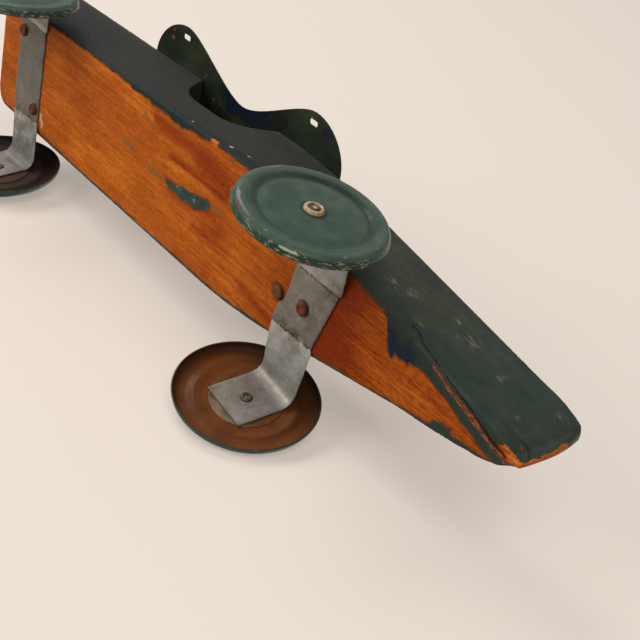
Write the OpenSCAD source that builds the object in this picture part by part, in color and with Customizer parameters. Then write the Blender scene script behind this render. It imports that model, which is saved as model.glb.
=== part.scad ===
// Soapbox racer, an old home-made toy: a wooden hull on two bent strap axles, with lids for wheels.
// Millimetres. +X is the nose, +Y is left, +Z is up. The wheels stand on Z = 0, and X = 0 is the middle of the hull.

/* [Hull] */
// Width of the hull where it is widest, at the cockpit
hull_w = 88; // [80:1:100]
// Width of the hull at the tail
tail_w = 80; // [70:1:88]
// Height of the hull block
hull_h = 50; // [40:1:65]
// Height of the hull's underside above the floor
ground_clear = 69.5; // [62:0.5:78]
// Width of the hull over the front axle
axle_w = 65; // [58:1:70]
// Angle of each tapering side to the centre line
taper_angle = 9.9; // [8:0.1:11]
// Radius of the bend between the straight side and the taper
side_bend_r = 440; // [300:10:500]
// Tip of the nose ahead of the front axle
nose_overhang = 155; // [145:1:175]
// Distance between the axles
wheelbase = 311; // [290:1:340]
// Tail behind the rear axle
tail_overhang = 60; // [50:1:90]
// Radius of the tail's upright corners
tail_corner_r = 12; // [4:1:20]
// Start of the curved point, back from the tip
point_len = 29; // [24:1:34]
// Push of the point's curve towards the tip
point_push = 2; // [0:0.5:4]
// Width of the nose's front edge
point_w = 1; // [0.6:0.1:2]
// Width of the point where its front edge begins to bulge
bulge_w = 4.4; // [3:0.2:6]
// Set-back of the front edge at the underside
rake_low = 6; // [3:0.5:9]
// Set-back of the front edge at the deck
rake_high = 7.5; // [3:0.5:11]

/* [Cockpit notch] */
// Front of the notch behind the front axle, at the deck
notch_start = 116.5; // [112:0.5:122]
// Length of the notch at the deck
notch_len = 83; // [76:1:90]
// Depth of the notch
notch_depth = 25; // [18:0.5:30]
// Slope of the notch's end walls
notch_slope = 60; // [50:1:70]
// Radius where the end walls meet the floor
notch_r = 28; // [15:1:30]

/* [Cowl plate] */
// Thickness of the tin
cowl_t = 0.6; // [0.4:0.1:1]
// Front edge of the plate behind the front axle
cowl_start = 57; // [50:1:62]
// Length of the plate
cowl_len = 198; // [190:1:210]
// Width of the plate at its front and rear edge
cowl_end_w = 82; // [74:1:86]
// Width of the plate across its wings
cowl_wing_w = 137; // [125:1:150]
// Middle of a wing behind the nearer edge
wing_at = 31.5; // [28:0.5:36]
// Width of the plate at its waist
cowl_waist_w = 86; // [80:1:92]
// Length of the cockpit opening
opening_len = 58; // [48:1:62]
// Width of the cockpit opening
opening_w = 42; // [32:1:48]
// Corner radius of the cockpit opening
opening_r = 12; // [6:1:15]
// Length of a wing's slot, end to end
slot_len = 7.3; // [6:0.1:9]
// Width of a wing's slot
slot_w = 3.5; // [2.5:0.1:4.5]
// Slot's centre in from the wing's outer edge
slot_in = 6.6; // [5.5:0.1:9]

/* [Straps] */
// Thickness of the strap metal
strap_t = 1.2; // [0.8:0.1:1.8]
// Width of a foot
foot_w = 32.5; // [26:0.5:36]
// End of a foot below the hub
foot_below = 15.5; // [12:0.5:18]
// Bend of a foot above the hub
foot_above = 18; // [14:0.5:22]
// Radius of the bend above a foot, at mid thickness
foot_bend_r = 8; // [4:0.5:10]
// Radius of the creases under the hull, at mid thickness
crease_r = 2; // [1.2:0.1:3]
// Outward tilt of the left wheels' faces, up from level
lean_left = 7; // [0:0.5:9]
// Outward tilt of the right wheels' faces, up from level
lean_right = 1; // [0:0.5:9]

/* [Front axle] */
// Turn of the front axle as it stands, left end back
steer_rest = 9; // [0:0.5:10]
// Pivot nail behind the front axle
pivot_back = 8.9; // [6:0.1:12]
// Pivot nail left of the centre line
pivot_left = 8; // [4:0.5:10]
// Line of the hubs ahead of the pivot nail
hub_ahead = 7.4; // [5:0.1:10]
// Left hub from the pivot nail
arm_left = 52.4; // [50:0.1:58]
// Right hub from the pivot nail
arm_right = 72.6; // [70:0.1:78]
// Left crease from the pivot nail
crease_left = 22.3; // [18:0.1:26]
// Right crease from the pivot nail
crease_right = 18.8; // [15:0.1:24]
// Rear edge of the strap behind the pivot nail, on the right
back_right = 15.8; // [13:0.1:17]
// Rear edge of the strap behind the pivot nail, at the left crease
back_left = 20.5; // [18:0.1:22]
// Rear edge of the strap behind the pivot nail, at the step's left end
back_step = 19.5; // [17:0.1:21]
// Front edge of the strap ahead of the pivot nail, at the right crease
ahead_right = 21.6; // [19:0.1:24]
// Front edge of the strap ahead of the pivot nail, at the left crease
ahead_left = 15.5; // [13:0.1:18]
// Step in the rear edge, left of the pivot nail
step_at = 8.7; // [7:0.1:10]
// Length of the step along the strap
step_len = 4.5; // [3:0.1:6]
// Stop nail behind the pivot nail, along the turned strap
stop_back = 22.5; // [22:0.1:26]
// Stop nail left of the pivot nail, along the turned strap
stop_left = 6.6; // [4:0.1:7]
// Gap between the turning strap and the hull, and under the pivot nail's head
turn_gap = 0.15; // [0.1:0.05:0.3]

/* [Rear axle] */
// Distance between the middles of the rear wheels
rear_track = 125; // [118:1:135]
// Width of the rear strap's flat
rear_flat_w = 35; // [28:0.5:40]
// Middle of the rear strap's flat behind the axle
rear_flat_back = 18; // [12:0.5:22]
// Middle of a rear foot behind the axle
rear_foot_back = 4; // [0:0.5:6]
// Rear creases from the centre line
rear_crease = 32; // [28:0.5:36]
// Rear nails from the centre line
rear_nail_y = 24.5; // [18:0.5:27]
// Rear nails from the middle of the flat, one ahead and one behind
rear_nail_x = 11.5; // [8:0.5:13]

/* [Wheels] */
// Radius of a wheel
wheel_r = 42; // [38:0.5:46]
// Thickness of the lid's metal
wheel_t = 0.6; // [0.4:0.05:0.8]
// Height of the rim
rim_h = 6; // [5:0.1:8]
// Radius of the rolled hem
hem_r = 0.6; // [0.45:0.05:0.9]
// Radius of the flat floor round the hub
floor_r = 24; // [22:0.5:26]
// Radius of the step between the floor and the raised rim
step_r = 31; // [29:0.5:32]
// Width of the step
step_w = 3.6; // [2.5:0.1:4.5]
// Fall of the floor towards the step
floor_fall = 0.9; // [0.4:0.1:1.2]
// Radius of the rim's shoulder, at mid thickness
shoulder_r = 3.8; // [2.5:0.1:4.2]
// Radius of the bends at the step, at mid thickness
step_bend_r = 1.5; // [0.8:0.1:2]
// Radius of the bend where the floor starts to fall, at mid thickness
floor_bend_r = 12; // [4:1:20]
// Radius of the liner disc
liner_r = 21; // [16:0.5:21.5]
// Thickness of the liner disc
liner_t = 0.5; // [0.3:0.1:0.8]

/* [Hubs] */
// Radius of the rivet's shank
shank_r = 2.4; // [2:0.1:2.8]
// Running clearance of a wheel on its rivet, on the radius
run_fit = 0.05; // [0.02:0.01:0.1]
// Gap between the foot and the turning liner, and under the rivet's head
side_play = 0.2; // [0.1:0.05:0.4]
// Radius of the rivet's clinched end
clinch_r = 3.6; // [3.2:0.1:4.2]
// Height of the rivet's clinched end
clinch_h = 0.9; // [0.6:0.1:1.2]
// Radius of the rivet's hollow
hollow_r = 1.7; // [1.2:0.1:1.75]
// Depth of the rivet's hollow
hollow_depth = 3; // [1:0.1:3.5]
// Radius of the rivet's head
rivet_head_r = 2.9; // [2.85:0.05:3]
// Height of the rivet's head
rivet_head_h = 1.1; // [0.6:0.1:1.4]
// Radius of the cup washer
washer_r = 6; // [5:0.1:7]
// Inner radius of the cup washer's raised ring
washer_cup_r = 3.2; // [3.1:0.05:3.6]
// Height of the cup washer
washer_h = 2; // [1.4:0.1:2.6]
// Thickness of the cup washer's base
washer_base = 0.6; // [0.4:0.1:0.8]

/* [Nails] */
// Radius of a large nail's head
nail_head_r = 4.2; // [3.6:0.1:4.3]
// Height of a large nail's head
nail_head_h = 1.3; // [1:0.1:1.8]
// Radius of a large nail's shank
nail_r = 2; // [1.5:0.1:2.4]
// Length of a large nail in the wood
nail_len = 32; // [15:1:36]
// Radius of a cowl nail's head
tack_head_r = 2.8; // [2:0.1:3.5]
// Height of a cowl nail's head
tack_head_h = 0.9; // [0.6:0.1:1.3]
// Radius of a cowl nail's shank
tack_r = 1; // [0.8:0.1:1.4]
// Length of a cowl nail in the wood
tack_len = 16; // [8:1:20]
// Cowl nails from the centre line
tack_y = 27; // [18:1:32]
// Cowl nails in from the plate's ends
tack_in = 9; // [6:0.5:14]
// Gap round a driven nail or a clinched rivet, on the radius
drive_fit = 0.02; // [0.01:0.01:0.05]

/* [Hidden] */
$fn = 72;

RIGHT = -1;
LEFT = 1;
// Steps in a rounded corner and along a curve
CORNER_STEPS = 8;
CURVE_STEPS = 14;
// Overlap of a cut with what it cuts
cut = 1;

// Places along the racer
nose_x = (nose_overhang + wheelbase + tail_overhang) / 2;
front_x = nose_x - nose_overhang;
rear_x = front_x - wheelbase;
deck_z = ground_clear + hull_h;
pivot_x = front_x - pivot_back;
notch_x = front_x - notch_start;
cowl_x = front_x - cowl_start;
cowl_mid_x = cowl_x - cowl_len / 2;
opening_x = notch_x - notch_len / 2;

// Levels along a hub's axis, outwards from the middle of the rim
liner_s = strap_t + side_play;
floor_s = liner_s + liner_t;
washer_s = floor_s + wheel_t;
rivet_head_s = washer_s + washer_base + side_play / 2;

function lean(side) = side == LEFT ? lean_left : lean_right;

// Height of a hub whose leaning rim stands on the floor on its rolled hem
function hub_z(side) =
    (wheel_r - hem_r) * cos(lean(side)) + (rim_h / 2 - hem_r) * sin(lean(side)) + hem_r;

// A wheel's axis and its own upward direction, in the plane across the racer
function outwards(side) = [side * cos(lean(side)), sin(lean(side))];
function upwards(side) = [-side * sin(lean(side)), cos(lean(side))];

// A point of a foot's middle surface, this far above the hub
function foot_point(side, arm, above) =
    [side * arm, hub_z(side)] + outwards(side) * strap_t / 2 + upwards(side) * above;

function unit(v) = v / norm(v);
function left_of(v) = [-v.y, v.x];
function quad(a, b, c, t) = a * (1 - t) * (1 - t) + b * 2 * t * (1 - t) + c * t * t;
function cubic(a, b, c, d, t) = quad(a, b, c, t) * (1 - t) + quad(b, c, d, t) * t;

// One rounded corner of a path, as pairs of a point and the direction to the left of the path there
function corner(a, b, c, r) =
    let (d0 = unit(b - a),
         d1 = unit(c - b),
         turn = atan2(d0.x * d1.y - d0.y * d1.x, d0 * d1),
         start = b - d0 * r * tan(abs(turn) / 2),
         centre = start + left_of(d0) * sign(turn) * r)
    [for (k = [0 : CORNER_STEPS])
        let (a1 = turn * k / CORNER_STEPS,
             d = [d0.x * cos(a1) - d0.y * sin(a1), d0.x * sin(a1) + d0.y * cos(a1)])
        [centre - left_of(d) * sign(turn) * r, left_of(d)]];

// A path with its corners rounded, as pairs of a point and a direction
function rounded(path, radii) =
    let (last = len(path) - 1)
    [[path[0], left_of(unit(path[1] - path[0]))],
     for (i = [1 : last - 1]) each corner(path[i - 1], path[i], path[i + 1], radii[i - 1]),
     [path[last], left_of(unit(path[last] - path[last - 1]))]];

// Outline of a sheet of thickness t bent along a path
function sheet(path, radii, t) =
    let (line = rounded(path, radii), last = len(line) - 1)
    concat([for (p = line) p[0] + p[1] * t / 2],
           [for (i = [last : -1 : 0]) line[i][0] - line[i][1] * t / 2]);

// Half width of the tapering side at x
function taper_y(x) = axle_w / 2 - (x - front_x) * tan(taper_angle);

// One side of the hull seen from above, from the tail to the tip
function hull_side() =
    let (tail_x = -nose_x,
         knee_x = front_x + (axle_w - hull_w) / 2 / tan(taper_angle),
         start_x = knee_x - side_bend_r * tan(taper_angle / 2),
         point_x = nose_x - point_len,
         low_x = nose_x - rake_low,
         a = [point_x, taper_y(point_x)],
         b = [(point_x + low_x) / 2 + point_push,
              taper_y(point_x) - (low_x - point_x) / 2 * tan(taper_angle)],
         c = [low_x, bulge_w / 2])
    concat([[tail_x, 0]],
           [for (p = corner([tail_x, 0], [tail_x, tail_w / 2], [start_x, hull_w / 2], tail_corner_r)) p[0]],
           [for (p = corner([tail_x, hull_w / 2], [knee_x, hull_w / 2], a, side_bend_r)) p[0]],
           [for (k = [0 : CURVE_STEPS]) quad(a, b, c, k / CURVE_STEPS)],
           [[nose_x, point_w / 2]]);

function mirrored(points) = [for (i = [len(points) - 1 : -1 : 0]) [points[i].x, -points[i].y]];

// The hull seen from the side: the bulging front edge, and the cockpit notch in the deck
module hull_profile() {
    foot_run = notch_depth / tan(notch_slope);
    // The curve's middle reaches the tip
    bulge_x = 2 * nose_x - (2 * nose_x - rake_low - rake_high) / 2;
    edge = [for (k = [0 : CURVE_STEPS])
        quad([nose_x - rake_low, ground_clear], [bulge_x, ground_clear + hull_h * 0.45],
             [nose_x - rake_high, deck_z], k / CURVE_STEPS)];
    notch = rounded([[notch_x, deck_z], [notch_x - foot_run, deck_z - notch_depth],
                     [notch_x - notch_len + foot_run, deck_z - notch_depth],
                     [notch_x - notch_len, deck_z]], [notch_r, notch_r]);
    polygon(concat([[-nose_x, ground_clear]], edge, [for (p = notch) p[0]], [[-nose_x, deck_z]]));
}

// A round nail with its head's underside at z = 0 and its shank going up
module nail(head_r, head_h, r, length) {
    rotate_extrude()
        polygon([[0, -head_h], [head_r * 0.6, -head_h], [head_r * 0.93, -head_h * 0.75], [head_r, -head_h * 0.4],
                 [head_r, 0], [r, 0], [r, length - 2 * r], [0, length]]);
}

// What a nail's shank takes out of a piece
module nail_hole(r, length, fit) {
    translate([0, 0, -cut])
        cylinder(r = r + fit, h = length + cut);
}

// Where each nail stands: the places only
module at_pivot() {
    translate([pivot_x, pivot_left, ground_clear])
        children();
}
module at_stop() {
    at_pivot() rotate(steer_rest) translate([-stop_back, stop_left, 0])
        children();
}
module at_rear_nails() {
    for (side = [RIGHT, LEFT])
        translate([rear_x - rear_flat_back + side * rear_nail_x, side * rear_nail_y, ground_clear])
            children();
}
module at_cowl_nails() {
    for (side = [RIGHT, LEFT], x = [cowl_x - tack_in, cowl_x - cowl_len + tack_in])
        translate([x, side * tack_y, deck_z]) mirror([0, 0, 1])
            children();
}

module hull() {
    color("sandybrown") difference() {
        intersection() {
            linear_extrude(deck_z + cut) polygon(concat(hull_side(), mirrored(hull_side())));
            rotate([90, 0, 0]) linear_extrude(hull_w + 2 * cut, center = true) hull_profile();
        }
        at_pivot() nail_hole(nail_r, nail_len, drive_fit);
        at_stop() nail_hole(nail_r, nail_len, drive_fit);
        at_rear_nails() nail_hole(nail_r, nail_len, drive_fit);
        at_cowl_nails() nail_hole(tack_r, tack_len, drive_fit);
    }
}

// One side of the cowl plate, from the front edge round both wings to the rear edge
function cowl_side() =
    let (end_y = cowl_end_w / 2,
         wing_y = cowl_wing_w / 2,
         waist_y = cowl_waist_w / 2,
         wing_x = cowl_x - wing_at,
         front = [for (k = [0 : CURVE_STEPS])
             cubic([cowl_x, end_y], [cowl_x, (end_y + wing_y) / 2], [cowl_x - wing_at * 0.44, wing_y],
                   [wing_x, wing_y], k / CURVE_STEPS)],
         back = [for (k = [1 : CURVE_STEPS])
             cubic([wing_x, wing_y], [wing_x - wing_at / 2, wing_y], [cowl_mid_x + wing_at * 0.59, waist_y],
                   [cowl_mid_x, waist_y], k / CURVE_STEPS)],
         half = concat(front, back),
         last = len(half) - 1)
    concat(half, [for (i = [last - 1 : -1 : 0]) [2 * cowl_mid_x - half[i].x, half[i].y]]);

module rounded_slot(length, width, r) {
    square([length, width - 2 * r], center = true);
    square([length - 2 * r, width], center = true);
    for (x = [-1, 1], y = [-1, 1])
        translate([x * (length / 2 - r), y * (width / 2 - r)]) circle(r);
}

module cowl_plate() {
    color("darkslategray") difference() {
        translate([0, 0, deck_z]) linear_extrude(cowl_t) difference() {
            polygon(concat(cowl_side(), mirrored(cowl_side())));
            translate([opening_x, 0]) rounded_slot(opening_len, opening_w, opening_r);
            for (side = [RIGHT, LEFT], x = [cowl_x - wing_at, cowl_x - cowl_len + wing_at])
                translate([x, side * (cowl_wing_w / 2 - slot_in)])
                    rounded_slot(slot_len, slot_w, slot_w * 0.4);
        }
        at_cowl_nails() nail_hole(tack_r, tack_len, drive_fit);
    }
}

module cowl_nails() {
    color("dimgray") at_cowl_nails() translate([0, 0, -cowl_t])
        nail(tack_head_r, tack_head_h, tack_r, tack_len);
}

// The front strap seen from above: hand-cut edges that widen to the right, and a step by the stop nail
function front_plan() =
    let (y_left = arm_left + foot_below,
         y_right = -arm_right - foot_below,
         foot_back = hub_ahead - foot_w / 2,
         foot_front = hub_ahead + foot_w / 2)
    [[foot_back, y_right], [foot_front, y_right], [foot_front, -arm_right + foot_bend_r],
     [ahead_right, -crease_right], [ahead_left, crease_left],
     [foot_front, arm_left - foot_bend_r], [foot_front, y_left], [foot_back, y_left],
     [foot_back, arm_left - foot_bend_r], [-back_left, crease_left],
     [-back_step, step_at + step_len / 2], [-back_right, step_at - step_len / 2],
     [-back_right, -crease_right], [foot_back, -arm_right + foot_bend_r]];

// The rear strap seen from above, with the same feet set ahead of its flat
function rear_plan() =
    let (arm = rear_track / 2,
         flat_back = -rear_flat_back - rear_flat_w / 2,
         flat_front = -rear_flat_back + rear_flat_w / 2,
         foot_back = -rear_foot_back - foot_w / 2,
         foot_front = -rear_foot_back + foot_w / 2,
         half = [[flat_front, rear_crease], [foot_front, arm - foot_bend_r], [foot_front, arm + foot_below],
                 [foot_back, arm + foot_below], [foot_back, arm - foot_bend_r], [flat_back, rear_crease]])
    concat(half, mirrored(half));

// A strap bent from the right foot, along its flat under the hull, to the left foot
module bent_strap(arm_r, arm_l, crease_at_r, crease_at_l, flat_z, plan) {
    path = [foot_point(RIGHT, arm_r, -foot_below), foot_point(RIGHT, arm_r, foot_above),
            [-crease_at_r, flat_z], [crease_at_l, flat_z],
            foot_point(LEFT, arm_l, foot_above), foot_point(LEFT, arm_l, -foot_below)];
    intersection() {
        rotate([90, 0, 90]) linear_extrude(4 * foot_w, center = true)
            polygon(sheet(path, [foot_bend_r, crease_r, crease_r, foot_bend_r], strap_t));
        linear_extrude(deck_z) polygon(plan);
    }
}

// Stands a hub's own parts at a hub: their axis is +Z, outwards, and their z = 0 is the middle of the rim
module at_arm(side, arm) {
    translate([0, side * arm, hub_z(side)]) rotate([side * (lean(side) - 90), 0, 0])
        children();
}
module at_front(side) {
    at_pivot() rotate(steer_rest)
        translate([hub_ahead, 0, -ground_clear]) at_arm(side, side == LEFT ? arm_left : arm_right)
            children();
}
module at_rear(side) {
    translate([rear_x, 0, 0]) at_arm(side, rear_track / 2)
        children();
}

// What the rivet's shank takes out of a foot
module rivet_hole() {
    translate([0, 0, -cut]) cylinder(r = shank_r + drive_fit, h = strap_t + 2 * cut);
}

module front_strap() {
    color("silver") difference() {
        at_pivot() rotate(steer_rest) translate([0, 0, -ground_clear])
            bent_strap(arm_right, arm_left, crease_right, crease_left,
                       ground_clear - turn_gap - strap_t / 2, front_plan());
        at_pivot() translate([0, 0, -strap_t - turn_gap]) nail_hole(nail_r, strap_t + cut, run_fit);
        for (side = [RIGHT, LEFT]) at_front(side) rivet_hole();
    }
}

module front_pivot_nail() {
    color("sienna") at_pivot() translate([0, 0, -strap_t - 2 * turn_gap])
        nail(nail_head_r, nail_head_h, nail_r, nail_len);
}

module front_stop_nail() {
    color("sienna") at_stop()
        nail(nail_head_r, nail_head_h, nail_r, nail_len);
}

module rear_strap() {
    color("gainsboro") difference() {
        translate([rear_x, 0, 0])
            bent_strap(rear_track / 2, rear_track / 2, rear_crease, rear_crease,
                       ground_clear - strap_t / 2, rear_plan());
        at_rear_nails() translate([0, 0, -strap_t]) nail_hole(nail_r, strap_t + cut, drive_fit);
        for (side = [RIGHT, LEFT]) at_rear(side) rivet_hole();
    }
}

module rear_strap_nails() {
    color("sienna") at_rear_nails() translate([0, 0, -strap_t])
        nail(nail_head_r, nail_head_h, nail_r, nail_len);
}

// Pressed lid: flat floor, step, raised rounded rim and rolled hem
module wheel() {
    floor_mid = floor_s + wheel_t / 2;
    crest = rim_h / 2 - wheel_t / 2;
    skirt_r = wheel_r - hem_r;
    hem_s = -rim_h / 2 + hem_r;
    // The shoulder stays clear of the step
    shoulder = min(shoulder_r, skirt_r - step_r - step_w - step_bend_r);
    path =[[shank_r + run_fit, floor_mid], [floor_r, floor_mid], [step_r, floor_mid - floor_fall],
            [step_r + step_w, crest], [skirt_r, crest], [skirt_r, hem_s]];
    lid = sheet(path, [floor_bend_r, step_bend_r, step_bend_r, shoulder], wheel_t);
    half = len(lid) / 2;
    // The hem goes round from the skirt's outer face to its inner face
    from = -acos(wheel_t / 2 / hem_r);
    hem = [for (k = [0 : CURVE_STEPS])
        let (a = from + (180 - 2 * from) * k / CURVE_STEPS)
        [skirt_r + hem_r * cos(a), hem_s - hem_r * sin(a)]];
    color("seagreen") rotate_extrude()
        polygon(concat([for (i = [0 : half - 2]) lid[i]], hem, [for (i = [half + 1 : 2 * half - 1]) lid[i]]));
}

module hub_liner() {
    color("lightgray") translate([0, 0, liner_s]) difference() {
        cylinder(r = liner_r, h = liner_t);
        translate([0, 0, -cut]) cylinder(r = shank_r + run_fit, h = liner_t + 2 * cut);
    }
}

// Semi-tubular rivet: clinched ring inside the foot, hollow shank, low domed head outside
module hub_rivet() {
    head = rivet_head_s + rivet_head_h;
    color("silver") rotate_extrude()
        polygon([[hollow_r, -clinch_h], [clinch_r * 0.8, -clinch_h], [clinch_r, -clinch_h * 0.4], [clinch_r, 0],
                 [shank_r, 0], [shank_r, rivet_head_s], [rivet_head_r, rivet_head_s],
                 [rivet_head_r, rivet_head_s + rivet_head_h * 0.4], [rivet_head_r * 0.8, head - rivet_head_h * 0.25],
                 [rivet_head_r * 0.4, head - rivet_head_h * 0.05], [0, head],
                 [0, hollow_depth - clinch_h], [hollow_r, hollow_depth - clinch_h]]);
}

// Cup washer: flat base with a raised round ring
module hub_washer() {
    mid = (washer_cup_r + washer_r) / 2;
    half = (washer_r - washer_cup_r) / 2;
    ring = [for (k = [1 : CURVE_STEPS])
        let (a = 180 - 180 * k / CURVE_STEPS)
        [mid + half * cos(a), washer_s + washer_h * sin(a)]];
    lift = 180 - asin(washer_base / washer_h);
    color("burlywood") rotate_extrude()
        polygon(concat([[shank_r + run_fit, washer_s], [shank_r + run_fit, washer_s + washer_base],
                        [mid + half * cos(lift), washer_s + washer_base]],
                       [for (p = ring) if (p.x > mid + half * cos(lift)) p]));
}

hull();
cowl_plate();
cowl_nails();
front_strap();
front_pivot_nail();
front_stop_nail();
rear_strap();
rear_strap_nails();
at_front(RIGHT) wheel();  // wheel_front_right
at_front(LEFT) wheel();  // wheel_front_left
at_rear(RIGHT) wheel();  // wheel_rear_right
at_rear(LEFT) wheel();  // wheel_rear_left
at_front(RIGHT) hub_liner();  // liner_front_right
at_front(LEFT) hub_liner();  // liner_front_left
at_rear(RIGHT) hub_liner();  // liner_rear_right
at_rear(LEFT) hub_liner();  // liner_rear_left
at_front(RIGHT) hub_rivet();  // rivet_front_right
at_front(LEFT) hub_rivet();  // rivet_front_left
at_rear(RIGHT) hub_rivet();  // rivet_rear_right
at_rear(LEFT) hub_rivet();  // rivet_rear_left
at_front(RIGHT) hub_washer();  // washer_front_right
at_front(LEFT) hub_washer();  // washer_front_left
at_rear(RIGHT) hub_washer();  // washer_rear_right
at_rear(LEFT) hub_washer();  // washer_rear_left
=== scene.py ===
import math

import bmesh
import bpy
import numpy as np
from mathutils import Matrix, Vector


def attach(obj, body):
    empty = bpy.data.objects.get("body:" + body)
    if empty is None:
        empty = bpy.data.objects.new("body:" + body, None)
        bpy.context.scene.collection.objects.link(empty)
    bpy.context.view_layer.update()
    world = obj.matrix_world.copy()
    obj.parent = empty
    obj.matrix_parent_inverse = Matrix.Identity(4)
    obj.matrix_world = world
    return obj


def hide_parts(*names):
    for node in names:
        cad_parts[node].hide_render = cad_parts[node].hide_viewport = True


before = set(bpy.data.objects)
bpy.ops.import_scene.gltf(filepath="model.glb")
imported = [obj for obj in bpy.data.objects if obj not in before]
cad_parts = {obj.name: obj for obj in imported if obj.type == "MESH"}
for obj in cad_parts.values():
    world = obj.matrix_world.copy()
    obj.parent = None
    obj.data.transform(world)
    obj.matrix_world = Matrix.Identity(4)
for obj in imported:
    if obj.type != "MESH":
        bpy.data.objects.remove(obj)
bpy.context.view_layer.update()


# The camera. It looks up at the racer's underside from the front right, as when the toy is laid on its
# left side on a table.
def put(name, data):
    """A new object in the scene."""
    made = bpy.data.objects.new(name, data)
    bpy.context.scene.collection.objects.link(made)
    return made


lens = bpy.data.cameras.new("camera")
lens.sensor_width = 36
lens.lens = 73.69
lens.clip_start = 0.01
camera = put("camera", lens)
right = Vector((0.60479, -0.20273, 0.77015))
down = Vector((0.49978, 0.84954, -0.16884))
ahead = Vector((-0.62004, 0.48701, 0.61511))
turn = Matrix((right, -down, -ahead)).transposed()
camera.matrix_world = Matrix.Translation((0.54905, -0.33505, -0.36349)) @ turn.to_4x4()
bpy.context.scene.camera = camera
bpy.context.scene.view_settings.view_transform = "Standard"


# The maths that every finish, the room and the lathe are written in. A Value is one socket, and sums of
# Values add Math nodes. Nodes fills one tree of nodes, and a Finish is a material with its own tree.
class Value:
    def __init__(self, nodes, socket):
        self.nodes = nodes
        self.socket = socket

    def maths(self, kind, *others):
        return self.nodes.maths(kind, self, *others)

    def __add__(self, other):
        return self.maths("ADD", other)

    def __sub__(self, other):
        return self.maths("SUBTRACT", other)

    def __rsub__(self, other):
        return self.nodes.maths("SUBTRACT", other, self)

    def __mul__(self, other):
        return self.maths("MULTIPLY", other)

    def __truediv__(self, other):
        return self.maths("DIVIDE", other)

    __radd__ = __add__
    __rmul__ = __mul__

    def least(self, other):
        return self.maths("MINIMUM", other)

    def most(self, other):
        return self.maths("MAXIMUM", other)

    def size(self):
        return self.maths("ABSOLUTE")

    def wave(self):
        """Goes up and down between 0 and 1 as the value grows."""
        return self.maths("SINE") * 0.5 + 0.5

    def ramp(self, low, high):
        """0 below low and 1 above high, with a smooth change between them."""
        limits = {"Value": self, "From Min": low, "From Max": high}
        return self.nodes.node("MapRange", limits, interpolation_type="SMOOTHSTEP")

    def fall(self, low, high):
        """1 below low and 0 above high, with a smooth change between them."""
        return 1 - self.ramp(low, high)

    def near(self, middle, reach):
        """1 at the middle, falling to 0 at this reach on both sides of it."""
        return (self - middle).size().fall(0, reach)

    def stretch(self, sizes, shift):
        """A place with each part divided by its own size, to draw a pattern out."""
        sizes = sizes if isinstance(sizes, tuple) else (sizes, sizes, sizes)
        scaled = self.nodes.node("VectorMath", {0: self, 1: [1 / s for s in sizes]}, operation="MULTIPLY")
        return self.nodes.node("VectorMath", {0: scaled, 1: (shift, shift * 0.7, -shift)}, operation="ADD")

    def noise(self, sizes, shift, detail, rough):
        sockets = {"Vector": self.stretch(sizes, shift), "Scale": 1, "Detail": detail, "Roughness": rough}
        return self.nodes.node("TexNoise", sockets)

    def spots(self, size, shift):
        """Distance from the nearest of many scattered points, 0 to about 1."""
        return self.nodes.node("TexVoronoi", {"Vector": self.stretch(size, shift), "Scale": 1})

    def tones(self, *stops):
        """A colour for each value. The stops are (value, colour), and colours between them are mixed."""
        return self.nodes.node("ValToRGB", {"Fac": self}, stops=stops)

    def coats(self, *coats):
        """This colour with other coats over it, one after the other. A coat is (share, colour)."""
        result = self
        for share, colour in coats:
            over = colour if isinstance(colour, Value) else paint(*colour)
            result = self.nodes.node("Mix", {0: share, 6: result, 7: over}, 2, data_type="RGBA")
        return result


class Nodes:
    def __init__(self, tree):
        self.tree = tree
        tree.nodes.clear()

    def node(self, kind, sockets=None, out=0, stops=(), **settings):
        """Adds one node: its settings first, then the values and links of its sockets."""
        whole = kind.startswith(("GeometryNode", "NodeGroup"))
        made = self.tree.nodes.new(kind if whole else "ShaderNode" + kind)
        for name, value in settings.items():
            setattr(made, name, value)
        if stops:
            elements = made.color_ramp.elements
            while len(elements) < len(stops):
                elements.new(0.5)
            for element, (place, colour) in zip(elements, stops):
                element.position = place
                element.color = paint(*colour)
        for name, value in (sockets or {}).items():
            if isinstance(value, Value):
                self.tree.links.new(value.socket, made.inputs[name])
            else:
                made.inputs[name].default_value = value
        return Value(self, made.outputs[out]) if made.outputs else None

    def maths(self, kind, *numbers):
        return self.node("Math", dict(enumerate(numbers)), operation=kind)

    def parts(self, vector):
        split = self.node("SeparateXYZ", {0: vector}).socket.node
        return [Value(self, output) for output in split.outputs]


class Finish(Nodes):
    def __init__(self, name):
        self.name = name
        self.material = bpy.data.materials.new(name)
        self.material.use_nodes = True
        super().__init__(self.material.node_tree)

    def kept(self, name, out="Fac"):
        """A value that the mesh keeps at its points."""
        return self.node("Attribute", out=out, attribute_name=name)

    def in_millimetres(self, point):
        """A point in metres, as one vector and as three numbers in millimetres."""
        point = self.node("VectorMath", {0: point, "Scale": 1000}, operation="SCALE")
        return point, *self.parts(point)

    def place(self):
        """The point on the object."""
        return self.in_millimetres(self.node("TexCoord", out="Object"))

    def turned(self):
        """On a turned piece: the point as it was turned, its height and its distance from the axle."""
        point, x, y, high = self.in_millimetres(self.kept("turned", "Vector"))
        return point, high, span(x, y)

    def surface(self, colour, rough, height, depth, shine=0.5, metal=0, coat=0, coat_rough=0.03):
        """The finish itself. Depth is how far a height of 1 stands out, in millimetres."""
        bumps = self.node("Bump", {"Height": height, "Strength": 1, "Distance": depth / 1000})
        self.show(self.node("BsdfPrincipled", {
            "Base Color": colour, "Roughness": rough, "Metallic": metal, "Specular IOR Level": shine,
            "Coat Weight": coat, "Coat Roughness": coat_rough, "Normal": bumps}))

    def show(self, shader):
        self.node("OutputMaterial", {"Surface": shader})


def span(x, y):
    """The length of a line that goes this far both ways."""
    return (x * x + y * y).maths("SQRT")


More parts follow.
